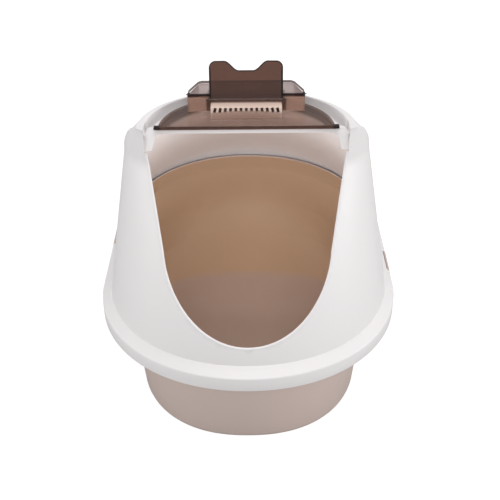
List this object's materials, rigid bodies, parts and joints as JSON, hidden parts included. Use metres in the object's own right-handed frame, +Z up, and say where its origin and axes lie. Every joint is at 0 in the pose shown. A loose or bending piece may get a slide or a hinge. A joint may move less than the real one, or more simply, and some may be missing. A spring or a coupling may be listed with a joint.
{
  "type": "hooded cat litter box",
  "caption": "Oval litter pan with a white lift-off hood, an open front entry, and a smoked top lid holding a vent, a filter and a cat-ear flap.",
  "frame": {"origin": "under the middle of the footprint, on the floor", "axes": "+Z up, the entry faces -Y, X is the width"},
  "size_m": [0.4156, 0.5696, 0.4689],
  "materials": {
    "beige_plastic": "satin moulded polypropylene",
    "white_plastic": "smooth white moulded plastic",
    "smoked_lid": "smoked clear plastic",
    "smoked_flap": "dark smoked clear plastic",
    "filter_foam": "activated charcoal felt",
    "pin_plastic": "dark hinge pins"
  },
  "bodies": {
    "pan": {"litter_pan": "beige_plastic"},
    "hood": {"hood": "white_plastic", "lid_pin_left": "pin_plastic", "lid_pin_right": "pin_plastic", "latch_pin_left": "pin_plastic", "latch_pin_right": "pin_plastic"},
    "lid": {"top_lid": "smoked_lid", "vent_grille": "beige_plastic", "filter_pad": "filter_foam", "cover_pin_left": "pin_plastic", "cover_pin_right": "pin_plastic", "flap_pin_left": "pin_plastic", "flap_pin_right": "pin_plastic"},
    "cover": {"rear_cover": "smoked_lid"},
    "flap": {"ear_flap": "smoked_flap"},
    "latch_left": {"latch_left": "beige_plastic"},
    "latch_right": {"latch_right": "beige_plastic"}
  },
  "joints": [
    {"name": "hood_lift", "type": "slide", "parent": "pan", "child": "hood", "axis": [0, 0, 1], "range_m": [0, 0.12]},
    {"name": "lid_hinge", "type": "hinge", "parent": "hood", "child": "lid", "pos_m": [0, -0.012, 0.41], "axis": [-1, 0, 0], "range_deg": [0, 75]},
    {"name": "cover_hinge", "type": "hinge", "parent": "lid", "child": "cover", "pos_m": [0, -0.0798, 0.4256], "axis": [1, 0, 0], "range_deg": [0, 60]},
    {"name": "flap_hinge", "type": "hinge", "parent": "lid", "child": "flap", "pos_m": [0, -0.0885, 0.4222], "axis": [1, 0, 0], "range_deg": [0, 102]},
    {"name": "latch_left_hinge", "type": "hinge", "parent": "hood", "child": "latch_left", "pos_m": [-0.2035, 0.0375, 0.1385], "axis": [0, 1, 0], "range_deg": [0, 80]},
    {"name": "latch_right_hinge", "type": "hinge", "parent": "hood", "child": "latch_right", "pos_m": [0.2035, -0.0375, 0.1385], "axis": [0, -1, 0], "range_deg": [0, 80]}
  ]
}
